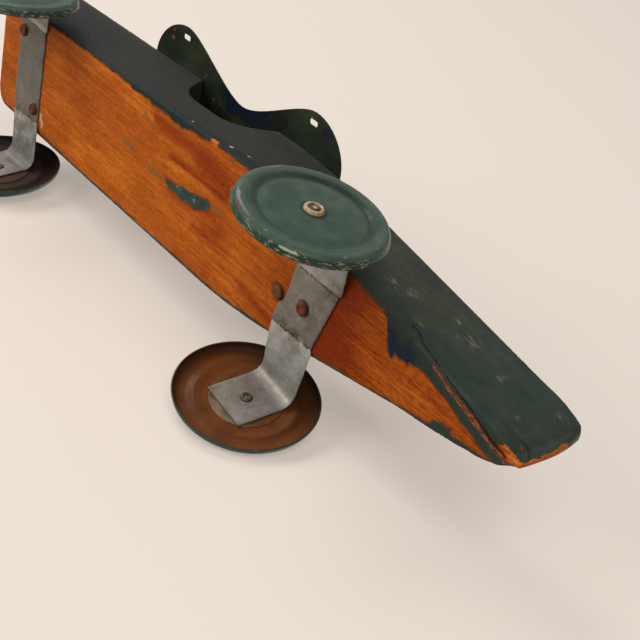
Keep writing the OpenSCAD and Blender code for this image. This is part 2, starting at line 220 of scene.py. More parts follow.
def paint(red, green, blue):
    """A colour as it is seen on a screen, 0 to 255, turned into the light that it stands for."""
    parts = [v / 255 for v in (red, green, blue)]
    return (*(p / 12.92 if p <= 0.04045 else ((p + 0.055) / 1.055) ** 2.4 for p in parts), 1)


# The table top behind the racer's left side, and the floor under its wheels. Both are plain pale card,
# seen from the racer's side only, and light passes through them to the other side.
PALE = paint(240, 227, 215)
CARD_SIDE = 4
card = Finish("card")
seen = card.node("LightPath", out="Is Camera Ray").most(card.node("LightPath", out="Is Glossy Ray"))
shown = seen * (1 - card.node("NewGeometry", out="Backfacing"))
# Part of the card's paleness is its own, so that the shadows on it stay as soft as in a bright room
lit = card.node("BsdfDiffuse", {"Color": (*(0.6 * v for v in PALE[:3]), 1)})
own = card.node("Emission", {"Color": PALE, "Strength": 0.4})
plain = card.node("AddShader", {0: lit, 1: own})
card.show(card.node("MixShader", {0: shown, 1: card.node("BsdfTransparent"), 2: plain}))
for name, place, tilt in (("table_top", (0, 0.0725, 0), 90), ("floor", (0, 0, 0), 0)):
    sheet = bpy.data.meshes.new(name)
    corners = [(-CARD_SIDE, -CARD_SIDE, 0), (CARD_SIDE, -CARD_SIDE, 0), (CARD_SIDE, CARD_SIDE, 0),
               (-CARD_SIDE, CARD_SIDE, 0)]
    sheet.from_pydata(corners, [], [(0, 1, 2, 3)])
    sheet.transform(Matrix.Translation(place) @ Matrix.Rotation(math.radians(tilt), 4, "X"))
    sheet.materials.append(card.material)
    stage = put(name, sheet)

# The light: a pale room, a soft lamp before the underside, one from the nose and one from the tail on the
# racer's right, and one from above for the other views.
world = bpy.data.worlds.new("room")
bpy.context.scene.world = world
world.use_nodes = True
room = Nodes(world.node_tree)
dim = room.node("Background", {"Color": paint(236, 236, 240), "Strength": 0.36})
pale = room.node("Background", {"Color": PALE, "Strength": 1})
by_eye = room.node("LightPath", out="Is Camera Ray")
room.node("OutputWorld", {"Surface": room.node("MixShader", {0: by_eye, 1: dim, 2: pale})})
MIDDLE = Vector((-0.02, 0, 0.06))
for name, towards, far, side, watts in (
        ("window", (-0.45, -0.5, -0.75), 2.9, 1.5, 36), ("skylight", (0.5, -0.8, -0.32), 2.9, 1.6, 27),
        ("wall", (-0.7, -0.7, 0), 2.9, 1.6, 31), ("over", (-0.1, 0.75, 0.8), 1.6, 1.2, 14)):
    lamp = bpy.data.lights.new(name, "AREA")
    lamp.energy = watts
    lamp.size = side
    stand = put(name, lamp)
    direction = Vector(towards).normalized()
    stand.location = MIDDLE + direction * far
    stand.rotation_euler = direction.to_track_quat("Z", "Y").to_euler()


# The hull: one block of softwood, sawn to a point, with a notch cut in the deck for the cockpit. The
# sides and the deck are painted, the underside is bare, and the lower right edge has split at the nose.
def bend_line(points, radii, steps=8):
    """A line of points with its corners rounded, and the direction to the left at each point."""
    points = [np.array(p, float) for p in points]
    runs = [(b - a) / np.linalg.norm(b - a) for a, b in zip(points, points[1:])]
    line = [(points[0], np.array((-runs[0][1], runs[0][0])))]
    for b, r, d0, d1 in zip(points[1:], radii, runs, runs[1:]):
        angle = math.atan2(d0[0] * d1[1] - d0[1] * d1[0], float(d0 @ d1))
        side = math.copysign(1, angle)
        start = b - d0 * r * math.tan(abs(angle) / 2)
        centre = start + np.array((-d0[1], d0[0])) * side * r
        for k in range(steps + 1):
            a = angle * k / steps
            left = np.array((-d0[0] * math.sin(a) - d0[1] * math.cos(a),
                             d0[0] * math.cos(a) - d0[1] * math.sin(a)))
            line.append((centre - left * side * r, left))
    return line + [(points[-1], np.array((-runs[-1][1], runs[-1][0])))]


def rounded(points, radii, steps=8):
    return [p for p, _ in bend_line(points, radii, steps)]


def off_line(x, y, line):
    """Distance of each point from a line of points."""
    best = np.full(np.shape(x), 1e9)
    for (x0, y0), (x1, y1) in zip(line[:-1], line[1:]):
        dx, dy = x1 - x0, y1 - y0
        t = np.clip(((x - x0) * dx + (y - y0) * dy) / (dx * dx + dy * dy), 0, 1)
        best = np.minimum(best, np.hypot(x - x0 - t * dx, y - y0 - t * dy))
    return best


def within(x, y, ring):
    """Whether each point lies inside a closed ring of points."""
    inside = np.zeros(np.shape(x), bool)
    for (x0, y0), (x1, y1) in zip(ring, ring[1:] + ring[:1]):
        if y0 != y1:
            inside ^= ((y0 > y) != (y1 > y)) & (x < (x1 - x0) * (y - y0) / (y1 - y0) + x0)
    return inside


def ragged(seed, spacing, count=900):
    """Random lines between -1 and 1 with a turn at each spacing. Each call draws a new one."""
    random = np.random.default_rng(seed)
    turns = np.arange(count + 1)
    return lambda at: np.interp(np.asarray(at) / spacing % count, turns, random.uniform(-1, 1, count + 1))


def along(where, line):
    """The height of a line of (place, height) points at these places."""
    return np.interp(where, *np.array(line).T)


def rise(value, low, high):
    """0 at low and 1 at high, in a straight line between them."""
    return np.clip((value - low) / (high - low), 0, 1)


def bell(far, reach, power=2):
    """1 where far is nothing, and fading out about this reach away."""
    return np.exp(-(far / reach) ** power)


TIP = 263
UNDER = 69.5
DECK = 119.5
HALF_TAIL = 40
HALF_HULL = 44
SIDE_BEND = 440
NOTCH_ENDS = (-91.5, -8.5)
NOTCH_FLOOR = 94.5
NOTCH_SLOPE = 14.434
lean_in = math.tan(math.radians(9.9))
knee = 108 - 11.5 / lean_in
bend_from = knee - SIDE_BEND * math.tan(math.radians(4.95))
point_at = np.array((234, 32.5 - 126 * lean_in))
point_lean = np.array((247.5, point_at[1] - 11.5 * lean_in))
point_end = np.array((257, 2.2))
corner = rounded([(-TIP, 0), (-TIP, HALF_TAIL), (bend_from, HALF_HULL)], [12])[1:-1]
bend = rounded([(-TIP, HALF_HULL), (knee, HALF_HULL), point_at], [SIDE_BEND], 24)[1:-1]
point = [point_at * (1 - t) ** 2 + point_lean * 2 * t * (1 - t) + point_end * t * t
         for t in np.linspace(0, 1, 12)]
outline = np.array([*corner, *bend, *point, (TIP, 0.9)])
notch = np.array(rounded(
    [(NOTCH_ENDS[1], DECK), (NOTCH_ENDS[1] - NOTCH_SLOPE, NOTCH_FLOOR),
     (NOTCH_ENDS[0] + NOTCH_SLOPE, NOTCH_FLOOR), (NOTCH_ENDS[0], DECK)], [28, 28])[::-1])
stations = np.concatenate([
    np.linspace(-263, -251, 9), np.arange(-249, -95, 2.4), np.arange(-94, -6, 1.3), np.arange(-5, 150, 2),
    np.arange(150, 257, 0.8), np.linspace(257.4, 263, 12)])


def half_width(x):
    return along(x, outline)


def front_edge(z):
    """How far the nose reaches at this height."""
    return np.interp(z - UNDER, (0, 5, 10, 15, 20, 27, 34, 41, 46, 50),
                     (262.3, 262.8, 262.9, 262.9, 262.8, 262.3, 261.2, 259.5, 257.9, 256.8))


wear_low = ragged(3, 9)
wear_high = ragged(5, 13)
wear_fine = ragged(8, 2.2)
quarter = np.linspace(0, math.pi / 2, 6)[1:-1]


def section(x):
    """The ring of points round the hull at x: along the right half from the underside to the deck, and
    back along the left half."""
    top = along(x, notch) if NOTCH_ENDS[0] < x < NOTCH_ENDS[1] else DECK
    w = float(half_width(x))
    low_round = 1.1 + 0.25 * wear_low(x) + 0.12 * wear_fine(x)
    high = min(0.9 + 0.25 * wear_high(x + 40), w * 0.85)
    split = 0.9 * rise(x, 165, 195) * rise(x, 262, 252)
    halves = []
    for side, low in ((-1, low_round + split), (1, low_round)):
        low = min(low, w * 0.85)
        half = [(u * (w - low), UNDER) for u in np.linspace(0, 1, 22)]
        half += [(w - low + low * math.sin(a), UNDER + low - low * math.cos(a)) for a in quarter]
        half += [(w, UNDER + low + (top - high - UNDER - low) * u) for u in np.linspace(0, 1, 34) ** 1.3]
        half += [(w - high + high * math.cos(a), top - high + high * math.sin(a)) for a in quarter]
        half += [(u * (w - high), top) for u in np.linspace(1, 0, 14)]
        halves.append([(side * y, z) for y, z in half])
    return halves[0] + halves[1][-2:0:-1]


rings = np.array([section(x) for x in stations])
count = rings.shape[1]
straight = np.repeat(stations[:, None], count, 1)
ys = rings[:, :, 0]
zs = rings[:, :, 1]
# The nose's front edge bulges, so its last 40 mm are drawn in with the height, and its width with them
xs = straight + rise(straight, TIP - 40, TIP) * (front_edge(zs) - TIP)
ys = np.where(straight > TIP - 45, ys * half_width(xs) / half_width(straight), ys)
# The right side stands out a little towards the deck, most at the blunt nose
fuller = np.interp(xs, (60, 100, 150, 190, 225, 246, 258), (0, 0.6, 1, 1.25, 1.6, 2.2, 3.2))
fuller = fuller * rise(zs, UNDER + 12, UNDER + 50) * np.clip((front_edge(zs) - xs) / 1.6, 0, 1) ** 0.5
ys = ys - fuller * np.clip(-ys / half_width(xs), 0, 1)
# and low on the left its side stands a little further out than a straight cut
bulge = np.interp(xs, (180, 188, 196, 205, 213, 222, 230, 236, 246, 250, 254, 257, 260, 263),
                  (0, 0.3, 1, 1.5, 1.6, 1.9, 1.6, 1.8, 1.5, 1.8, 1.4, 1.1, 0.3, 0))
bulge = bulge * rise(zs, UNDER + 34, UNDER + 8)
ys = ys + bulge * np.clip(ys / half_width(xs), 0, 1)

# Paint and wear, drawn on the underside in millimetres as seen from below
strip = [(112, -31.5), (128, -28.8), (140, -27.4), (148, -26.8), (154.6, -24.1), (159.3, -20.9),
         (161.7, -15.2), (163.2, -10.1), (165.6, -5.5), (168.5, -3), (170.2, -7.1), (173.8, -5.7),
         (177.4, -6.7), (180.1, -5.5), (180.7, -8.2), (184.1, -7.3), (187.1, -8.8), (195.4, -8.1),
         (201.2, -5.9), (208.6, -4.7), (215.1, -2.3), (221.7, 0.4), (229.7, 2.4), (236.2, 5.1),
         (241.9, 6.4), (246.1, 7.2), (248.6, 7.9), (252, 9)]
strip_ring = strip + [(275, 9), (275, -60), (112, -60)]
left_patch = [(120, 40), (120, 29.8), (170, 21.2), (203.9, 14.8), (206.2, 11.5), (209.4, 9.9), (212.9, 9.4),
              (216, 9.7), (218.6, 7.6), (217.4, 10.2), (220.3, 11.8), (224.6, 10.7), (229.4, 10.7),
              (234, 10.2), (238.6, 9.8), (243, 9.1), (246.5, 8.3), (250, 7.6), (253, 9), (253, 40)]
remnant = [(-46.8, -1.3), (-43, 2.4), (-37.5, 3.2), (-33, 2.2), (-29, 4.2), (-23.1, 4.1), (-18, 2.4),
           (-12, 3.2), (-6, 0.6), (-0.4, -1.7), (2.4, -4.9), (-0.7, -7.9), (-7.5, -6.1), (-14, -5.2),
           (-20.2, -3.6), (-26, -4.4), (-31, -1.9), (-38.6, -0.9)]
wedge = [(242.6, -1.6), (245.9, -3), (250.1, -4), (252.5, -9), (270, -9), (270, 6), (256, 4.4), (251, 2.4),
         (246, 0.7)]
bare_line = [(190, -16.6), (194, -15.7), (200.6, -13.6), (209.2, -10.2), (214.9, -8.6), (226.6, -5.4),
             (231.1, -3.7), (236.4, -1.9), (240.9, -0.3), (246.3, 1.8), (251.3, 3), (255.9, 3.3), (262, 3.3)]
# Lines that follow the split cross the lower edge, so they are drawn as height above the edge, which goes
# on below zero as the distance from the edge along the underside
crack_line = [(163, 10.4), (165.9, 9.8), (171.5, 7.6), (175.3, 8.1), (182.3, 4.4), (189.9, 2.9),
              (193.8, 2.6), (202, 0.4), (207.8, -1), (211.7, -1.8), (225.4, -3.7), (230, -5.1),
              (235.7, -5.9), (242.9, -7.2), (247.4, -7), (251.4, -6.2), (256, -4.4)]
grain_line = [(150, 0.9), (157.6, 0.7), (166.2, 0.1), (174.5, 0.1), (181.5, 0.6), (190, 1), (222, 5.4),
              (232.1, 6.2), (240.2, 7.6), (247.2, 9.3), (252.7, 10.9), (255.2, 12.7), (256.6, 11),
              (257.8, 12.3), (259.2, 8.6), (260.6, 9.4), (262.3, 4)]
sliver = [(20, 8.2), (26, 7.8), (45.3, 3.6), (58, 1.2), (63.2, 0.4), (70, 0.4)]

w = half_width(xs)
height = zs - UNDER
below = (height < 0.6) | ((np.abs(ys) < w - 0.4) & (height < 2.5))
on_right = ~below & (ys < 0)
edge_right = ys + w
edge_left = w + bulge - ys


def signed(ring, line=None):
    """Distance from a ring's edge, positive inside."""
    far = off_line(xs, ys, line or ring + ring[:1])
    return np.where(within(xs, ys, ring), far, -far)


def hump(middle, back, front):
    """1 at this x, fading out over one length towards the tail and another towards the nose."""
    return bell(xs - middle, np.where(xs < middle, back, front))


def streaks_of(*lines):
    """Soft streaks on the underside, each given as (share, reach, line)."""
    return sum(share * below * bell(off_line(xs, ys, line), reach) for share, reach, line in lines)


on_bottom = np.full(xs.shape, -30)
for region in (signed(strip_ring, strip), signed(left_patch, left_patch[1:-1]), signed(remnant)):
    on_bottom = np.maximum(on_bottom, region)
# Paint runs over the lower edges in a thin line, wider at the rear right
lip_right = 0.7 + 0.6 * wear_fine(xs * 0.7) + 5 * hump(-46, 60, 34)
lip_right = np.where(xs > 60, 0.5, lip_right * (0.8 + 0.3 * wear_low(xs * 1.9)))
lip_left = 0.9 + 0.5 * wear_fine(xs * 0.6 + 77) - 0.55 * rise(xs, 215, 225) + 0.7 * rise(xs, 90, 60)
on_bottom = np.maximum(on_bottom, np.maximum(lip_right - edge_right, lip_left - edge_left))
blend = np.clip(height / 2.2, 0, 1)
on_side = np.minimum(8, np.maximum(on_bottom, 0.2) * (1 - blend) + 8 * blend)
painted = np.where(below, on_bottom, on_side)

over_edge = np.where((edge_right < edge_left + 1) & (height < 20), height - edge_right,
                     np.where(below, -edge_right, 99))
line_x, line_y = np.array(bare_line).T
bare_at = over_edge - np.interp(xs, line_x, -(line_y + half_width(line_x)))
bare_wide = 0.3 * wear_fine(xs * 1.7)
bare_wide = bare_wide + np.interp(
    xs, (190, 198, 206, 215, 226, 232, 237, 250, 256, 259), (-0.5, 0.6, 1.2, 1.3, 1.6, 1.6, 1, 0.9, 1, 0.2))
crack_at = over_edge - along(xs, crack_line) - 0.3 * wear_fine(xs * 1.1 + 21)
crack_wide = 0.12 * wear_fine(xs * 1.3 + 9) + np.interp(
    xs, (162, 168, 175, 190, 205, 225, 238, 250, 258), (-0.5, 0.2, 0.3, 0.2, 0.35, 0.45, 0.8, 0.6, -0.5))
grain_wide = np.interp(xs, (152, 158, 181, 188, 222, 232, 246, 252, 256, 262.5),
                       (-0.4, 0, 0, -0.5, -0.4, 0, 0.05, 0.1, 0.35, 0.2))
sliver_wide = np.interp(xs, (20, 30, 45, 58, 66, 70), (-0.4, 0, 0.15, 0.25, 0.6, -0.4))
grain_at = np.where(xs < 80, np.where(below, edge_left, 99) - along(xs, sliver),
                    over_edge - along(xs, grain_line))

NONE = -9
torn_up = np.interp(xs, (250, 253.6, 255.9, 258.2, 260.8, 262.8), (-1.5, 0.9, 2.1, 2.4, 2.3, 3.6))
torn = np.where(below, signed(wedge), torn_up - height + 0.6 * wear_fine(xs * 2.3 + 50))
torn = np.where((xs > 245) & (ys < 2) & ((height < 1) | (xs > 251)) & (height < 7), torn, NONE)
front_rim = xs - front_edge(zs) + 0.8 + 0.7 * wear_fine(zs * 1.3) - np.clip((height - 34) / 4, 0, 3)
front_rim = np.where(height > 3, front_rim, NONE)
knocked = 2 - np.hypot((xs + 5.5) * 0.45, np.maximum(edge_right - 1.5, 0) + height) + 0.5 * wear_fine(xs)
pit = np.hypot(xs - 254.8, height - 8)
knocked = np.where(ys < 0, np.maximum(knocked, 1.2 - pit - 4 * below), NONE)
bare = np.minimum(np.maximum(np.maximum(torn, front_rim), np.maximum(knocked, NONE)), 3)

dark = streaks_of(
    (1, 3.4, [(-64, -31.5), (-21.8, -30.7), (8.3, -29), (46, -31.5)]),
    (1.1, 1.7, [(-44, -16.4), (-21.8, -16.4), (-2.6, -16), (16, -15.6)]),
    (0.5, 5, [(-15, -23.5), (18, -22)]), (0.5, 2, [(40, 24), (64, 30), (76, 32)]),
    (0.35, 5, [(11, 8), (17, 5)]), (0.35, 5, [(-10, 16), (2, 15)]),
    (0.5, 1.6, [(-40, 5), (-18, 5.4), (2, -1.5)]),
    (2.2, 1.1, [(242, -1.4), (246.5, -0.9), (250.5, -0.4), (253, 0.6)]))
# The dark band on the underside in front of the front strap is painted shade of the strap and wheel; the
# streaks above are the wood's own, and a dark ring is drawn round the pit on the side
dark = dark + below * 1.3 * hump(116, 16, 30) + ~below * 2 * bell(pit, 2.2, 4)
light = streaks_of(
    (0.9, 2.2, [(-57.8, -22.5), (-44.7, -24.2)]),
    (1.2, 2, [(-58.9, -9.1), (-37.4, -12.6), (-11.2, -13.5), (2.9, -12.5)]))
# The underside is painted lighter towards the tail and in a band behind the front strap, as painted light;
# the streaks above are paler wood
light = light + below * (0.9 * rise(xs, 40, -80) + 0.5 * rise(xs, 10, 30) * rise(xs, 80, 60))
tinge = streaks_of(
    (1, 1.4, [(-77.2, -29.7), (-69.7, -26.2), (-62, -25.3)]), (1, 1.6, [(-80.3, -12.9), (-78.3, -12.2)]),
    (1, 1.9, [(-94, -3.4), (-82.3, -2.3), (-72.8, -0.3), (-60.3, 0.8), (-47, 1.3)]),
    (0.7, 2, [(3, -5), (14, -7.5)]))
tinge = tinge + below * 0.8 * bell(edge_left, 2.6)
navy = bell(off_line(xs, ys, [(163, -13), (170, -8), (179, -10)]), 6) * rise(height, 7, 3)
primer = below * bell(off_line(xs, ys, [(-200.9, 25.2), (-198.6, 32.9)]), 1.6, 4)
for spot_x, spot_z, r in ((4.5, 5.4, 1.3), (17.9, 8.6, 0.9), (-33, 3.6, 0.8)):
    far = np.hypot((xs - spot_x) * 0.7, height - spot_z)
    primer = np.maximum(primer, on_right * bell(far, r, 4))
scuff = np.zeros(xs.shape)
for spot_x, spot_z, r in (
        (191, 30.8, 4), (217, 28, 2), (247.5, 40.3, 1.6), (188.6, 29.9, 5), (140, 21, 6), (150, 24, 4),
        (176, 35, 4), (240.9, 16.9, 1.2), (170, 12, 3)):
    scuff = np.maximum(scuff, on_right * bell(np.hypot(xs - spot_x, height - spot_z), r))
# Along the lower right edge behind the front wheel an older, darker coat shows under the grey one
older = np.interp(xs, (-60, -40, -10, 25, 60, 95), (3, 4, 6, 8, 7, 0))
older = np.where((ys < 0) & (xs < 100), older + 0.9 * wear_fine(xs * 0.8 + 5) - height, NONE)
kept = dict(
    painted=painted, bare=bare, bare_at=bare_at, bare_wide=bare_wide, crack_at=crack_at,
    crack_wide=crack_wide, grain_at=grain_at, grain_wide=np.where(xs < 80, sliver_wide, grain_wide),
    dark=dark, light=light, tinge=tinge, navy=navy, primer=primer, scuff=scuff, older=older,
    grey_coat=on_right * rise(xs, 110, 70) * rise(zs, DECK, DECK - 5),
    arris=np.hypot(np.minimum(height, DECK - zs), np.minimum(edge_right, edge_left)))

# The split opens as a groove, the strip beside it has sunk a little, and the tip is broken in steps
depth = 1.1 * np.clip(crack_wide * 2, 0, 1) * bell(crack_at, 0.8)
depth = depth + 0.4 * np.clip(bare_wide - np.abs(bare_at), 0, 1)
steps = 0.5 + 0.4 * np.sign(wear_fine(ys * 2 + 31))
depth = depth + np.where((torn > 0) & (height < 7), np.clip(torn, 0, 1) * steps, 0)
ys = ys - np.sign(ys) * depth * (~below & (np.abs(ys) > 0.6))
zs = zs + below * depth


def loose_mesh(name, points, faces):
    """A mesh from points in millimetres."""
    mesh = bpy.data.meshes.new(name)
    mesh.from_pydata((np.asarray(points) / 1000).tolist(), [], faces)
    return mesh


def tidy_mesh(mesh, close, sharp):
    """Merges doubles, closes gaps, turns the faces outwards and keeps the edges over this angle sharp."""
    work = bmesh.new()
    work.from_mesh(mesh)
    bmesh.ops.remove_doubles(work, verts=work.verts, dist=close)
    bmesh.ops.dissolve_degenerate(work, edges=work.edges, dist=close / 2)
    gaps = [e for e in work.edges if len(e.link_faces) == 1]
    if gaps:
        bmesh.ops.holes_fill(work, edges=gaps)
    bmesh.ops.recalc_face_normals(work, faces=work.faces)
    work.to_mesh(mesh)
    work.free()
    mesh.shade_smooth()
    mesh.set_sharp_from_angle(angle=math.radians(sharp))
    return mesh


def keep(mesh, name, values):
    points = mesh.attributes.new(name, "FLOAT", "POINT")
    points.data.foreach_set("value", np.asarray(values, np.float32).ravel())


def add_piece(name, mesh, finish, body, *cad):
    """The finished mesh as a piece of the racer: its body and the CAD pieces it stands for."""
    mesh.materials.clear()
    mesh.materials.append(finish.material)
    piece = put(name, mesh)
    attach(piece, body)
    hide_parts(*cad)


# The two ends are closed with flat rows that meet on the centre line, and the tail's is painted all over
points = np.stack([xs, ys, zs], 2)
inset = points[:1].copy()
inset[:, :, 1] *= 0.98
centre = (UNDER + DECK) / 2
inset[:, :, 2] = centre + (inset[:, :, 2] - centre) * 0.965
tail = inset.copy()
tail[:, :, 1] = 0
tip = points[-1:].copy()
tip[:, :, 1] = 0
points = np.concatenate([tail, inset, points, tip]).reshape(-1, 3)
faces = [(i * count + j, i * count + (j + 1) % count, (i + 1) * count + (j + 1) % count, (i + 1) * count + j)
         for i in range(len(stations) + 2) for j in range(count)]
hull_mesh = loose_mesh("hull_skin", points, faces)
for name, values in kept.items():
    ends = np.full((2, count), 8) if name in ("painted", "arris") else np.repeat(values[:1], 2, 0)
    keep(hull_mesh, name, np.concatenate([ends, values, values[-1:]]))
tidy_mesh(hull_mesh, 2e-5, 50)

pine = Finish("painted_pine")
spot, x, y, z = pine.place()
at = {name: pine.kept(name) for name in kept}
fine = spot.noise((34, 0.7, 0.7), 3, 4, 0.65)
bands = spot.noise((420, 13, 13), 7, 2, 0.5)
streaks = spot.noise((130, 3.4, 3.4), 27, 3, 0.5)
blotch = spot.noise((26, 11, 11), 11, 4, 0.6)
patches = spot.noise((60, 30, 30), 2, 2, 0.5)
crisp = spot.noise((16, 0.34, 0.34), 93, 2, 0.5)
marks = spot.noise((3, 14, 3), 43, 3, 0.6)
dashes = spot.noise((6, 0.55, 0.55), 17, 3, 0.6)
grit = spot.noise((3.4, 2, 2), 51, 4, 0.65)
weather = spot.noise(6, 5, 5, 0.65)
lift = spot.noise((7, 2.2, 2.2), 21, 5, 0.7)
tear = spot.noise((5.5, 1.1, 1.1), 9, 5, 0.65)
shred = (tear - 0.5) * 5
splinter = (spot.noise((4.5, 0.5, 0.5), 61, 2, 0.5) - 0.5) * 3
streaky = (spot.noise((11, 0.55, 0.55), 81, 3, 0.6) - 0.5) * 6
growth = (bands * 60 + fine).wave()
saw = (x * 4.7 + y * 0.9 + blotch * 5).wave()
front = x.ramp(90, 120)

# Where the paint is, where it is rubbed thin or torn off to fresh wood, and where the wood has split, with a
# painted shadow along the split
mask = (at["painted"] + shred * 0.6 + splinter * 0.5 + streaky * 0.35 + 0.1).ramp(-0.35, 0.35)
thin = (at["painted"] + shred * 0.6 + streaky * 0.8 + 1.2).ramp(-0.3, 0.6) * at["painted"].ramp(-5, -1)
rub = (at["arris"].fall(0, 1.4) * 1.25 + (weather - 0.5) * 2.2 - 1.08).ramp(0, 0.25)
torn_line = (at["bare_wide"] - at["bare_at"].size() + shred * 0.25 + splinter * 0.3).ramp(-0.2, 0.3)
torn_line = torn_line * (0.15 + (splinter + streaky * 0.5 + (grit - 0.5) * 5).ramp(-0.5, 0.3) * 0.85)
flake = (at["bare"] + shred * 0.4 + splinter * 0.4).ramp(-0.25, 0.25).most(torn_line)
mask = mask * (1 - rub * 0.8) * (1 - flake)
crack = at["crack_wide"] - at["crack_at"].size()
shadow_beside_crack = (crack + 0.9 + shred * 0.4).ramp(0, 0.9) * at["crack_wide"].ramp(0, 0.2)
line = (at["grain_wide"] - at["grain_at"].size() + 0.22 + (tear - 0.5) * 0.5).ramp(-0.1, 0.2)
split = (crack + (tear - 0.5) * 1.2).ramp(-0.15, 0.25).most(shadow_beside_crack * 0.55)
split = split.most(line * at["grain_wide"].ramp(-0.2, 0) * 0.85)

tone = 0.5 + (crisp - 0.5) * 0.28 + (growth - 0.5) * 0.05 + (fine - 0.5) * (0.4 + front * 0.2)
tone = tone + (dashes - 0.5) * (0.32 + front * 0.25) + (grit - 0.5) * 0.42
# The slight darkening of the wood towards the nose is painted shade
tone = tone + (streaks - 0.5) * 0.26 + (blotch - 0.5) * 0.36 - x.ramp(60, 120) * 0.03
tone = tone + at["light"] * 0.11 - at["dark"] * 0.24 + (saw - 0.5) * marks.ramp(0.35, 0.6) * 0.12
primer_here = at["primer"].ramp(0.3, 0.7)
wood = tone.tones((0.14, (92, 30, 1)), (0.34, (150, 60, 6)), (0.5, (182, 86, 12)), (0.66, (212, 110, 24)),
                  (0.88, (236, 146, 64)))
wood = wood.coats(
    ((patches.ramp(0.4, 0.62) * 0.3 + at["dark"] * 0.4).least(1), (150, 50, 5)),
    (at["tinge"].least(1) * blotch.ramp(0.4, 0.55) * 0.75, (104, 96, 50)),
    (primer_here * 0.8, (225, 185, 150)),
    (flake * tear.fall(0.38, 0.5) * 0.6, (92, 36, 12)),
    (flake * splinter.ramp(-0.3, 0.4) * at["dark"].fall(0.3, 1) * 0.7, (218, 128, 52)),
    (torn_line * 0.45, (124, 50, 16)),
    (thin.least(1) * (1 - flake) * 0.7, (78, 56, 24)))
underneath = z.fall(70, 71.5)
remnant_here = underneath * x.fall(20, 30) * y.size().fall(12, 16)
older_here = (at["older"] + (weather - 0.5) * 5).ramp(-0.5, 0.5)
coat = (patches * 0.4 + weather * 0.35 + streaks * 0.25).tones(
    (0.25, (36, 46, 42)), (0.45, (50, 60, 52)), (0.6, (62, 68, 56)), (0.78, (80, 82, 64)))
coat = coat.coats(
    (x.fall(150, 200) * blotch.ramp(0.3, 0.6) * 0.5, (78, 74, 56)),
    (marks.ramp(0.45, 0.65) * 0.3, (40, 50, 52)),
    (blotch.ramp(0.5, 0.64) * 0.35, (74, 78, 62)),
    (z.fall(70, 98) * blotch.ramp(0.35, 0.6) * 0.45, (28, 46, 44)),
    (at["grey_coat"] * (0.45 + weather * 0.7), (46, 43, 42)),
    (z.ramp(111, 118) * x.ramp(-40, -10) * weather.ramp(0.45, 0.6) * 0.6, (44, 64, 66)),
    (older_here * 0.85, (28, 42, 40)),
    (remnant_here * weather.ramp(0.3, 0.5), (50, 72, 62)),
    (remnant_here * weather.ramp(0.56, 0.66), (118, 138, 138)),
    ((at["navy"] * 1.3).least(1) * 0.85, (23, 36, 54)),
    (at["scuff"] * lift.ramp(0.46, 0.64) * 0.6, (138, 132, 104)),
    (fine.ramp(0.6, 0.72) * 0.18, (96, 96, 76)),
    (fine.fall(0.28, 0.4) * 0.35, (18, 24, 20)),
    (primer_here * 0.9, (190, 160, 120)),
    (spot.spots(19, 4).fall(0.022, 0.04) * 0.7, (150, 160, 136)))
# The stop nail has stained the wood round it, and the dark ring next to its head is also painted shade of the
# head
STOP_X, STOP_Y = 75.8, 11
stain = (span(x - STOP_X, y - STOP_Y) + (weather - 0.5) * 6).fall(3.8, 8.5) * underneath
colour = wood.coats((mask, coat), (split * 0.92, (16, 14, 10)), (stain * 0.75, (72, 38, 18)))
relief = fine * 0.12 + crisp * 0.05 + growth * 0.05 + mask * (0.12 + weather * 0.05)
pine.surface(colour, 0.62 - mask * 0.08 + fine * 0.08, relief, 0.9, shine=0.12)
add_piece("hull_skin", hull_mesh, pine, "body", "hull")

# The wheels: tin lids, painted green outside and brown inside, each with a thin steel disc inside it and
# a cup washer outside it. Each turns on a hollow rivet that is clinched on the end of a strap. All are
# turned from a profile by one lathe, which keeps each point's place before the piece is stood up.
turner = bpy.data.node_groups.new("turned piece", "GeometryNodeTree")
for name, kind in (("Geometry", "Geometry"), ("Steps", "Int"), ("Unevenness", "Float"),
                   ("Dent size", "Float"), ("Seed", "Float"), ("Finish", "Material")):
    turner.interface.new_socket(name, in_out="INPUT", socket_type="NodeSocket" + kind)
turner.interface.new_socket("Geometry", in_out="OUTPUT", socket_type="NodeSocketGeometry")
lathe = Nodes(turner)
given = lathe.node("NodeGroupInput").socket.node.outputs
shape, around, unevenness, dent_size, seed, finish = [Value(lathe, given[i]) for i in range(6)]
length = lathe.node("GeometryNodeAttributeDomainSize", {0: shape}, "Point Count")
net = lathe.node("GeometryNodeMeshGrid", {"Vertices X": around + 1, "Vertices Y": length}, "Mesh")
index = lathe.node("GeometryNodeInputIndex")
step = ((index + 0.5) / length).maths("FLOOR")
row = (index - step * length).maths("ROUND")
where = lathe.node("GeometryNodeInputPosition")
sample = lathe.node("GeometryNodeSampleIndex", {"Geometry": shape, "Value": where, "Index": row},
                    data_type="FLOAT_VECTOR")
radius, _, high = lathe.parts(sample)
angle = step / around * math.tau
place = lathe.node("CombineXYZ", {0: radius * angle.maths("COSINE"), 1: radius * angle.maths("SINE"),
                                  2: high})
piece = lathe.node("GeometryNodeSetPosition", {"Geometry": net, "Position": place})
piece = lathe.node("GeometryNodeStoreNamedAttribute", {"Geometry": piece, "Name": "turned", "Value": where},
                   data_type="FLOAT_VECTOR", domain="POINT")
dents = lathe.node("TexNoise", {"Vector": where, "W": seed, "Scale": lathe.maths("DIVIDE", 1, dent_size),
                                "Detail": 1}, noise_dimensions="4D")
push = lathe.node("CombineXYZ", {2: (dents - 0.5) * unevenness})
piece = lathe.node("GeometryNodeSetPosition", {"Geometry": piece, "Offset": push})
piece = lathe.node("GeometryNodeMergeByDistance", {"Geometry": piece, "Distance": 2e-6})
piece = lathe.node("GeometryNodeRealizeInstances", {0: piece})
piece = lathe.node("GeometryNodeSetMaterial", {"Geometry": piece, "Material": finish})
lathe.node("NodeGroupOutput", {0: piece})


